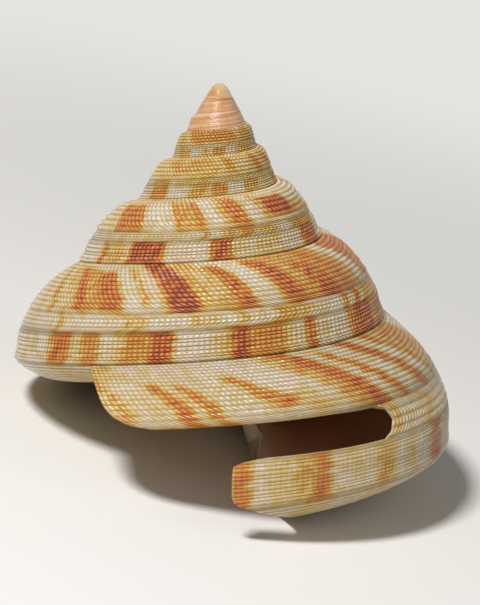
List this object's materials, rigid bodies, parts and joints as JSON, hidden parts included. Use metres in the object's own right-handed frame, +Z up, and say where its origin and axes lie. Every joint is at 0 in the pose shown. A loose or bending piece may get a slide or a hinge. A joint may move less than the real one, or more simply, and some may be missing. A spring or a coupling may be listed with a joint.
{
  "type": "slit shell",
  "caption": "Hollow right-handed top-shaped seashell with stepped whorls and a long open slit in its outer lip, standing on its base.",
  "frame": {"origin": "centre of the bounding box, at the level of the surface the shell stands on", "axes": "+Z up; the slit and the free edge of the outer lip face -Y; the apex leans about 14 degrees from +Z, towards -X and +Y, as the shell stands on its uneven base"},
  "size_m": [0.0608, 0.066, 0.0493],
  "materials": {
    "shell": "cream aragonite shell with ochre to orange-red flames and a soft satin shine; inside, pale nacre darkening deeper in"
  },
  "bodies": {
    "root": {"shell": "shell"}
  },
  "joints": []
}
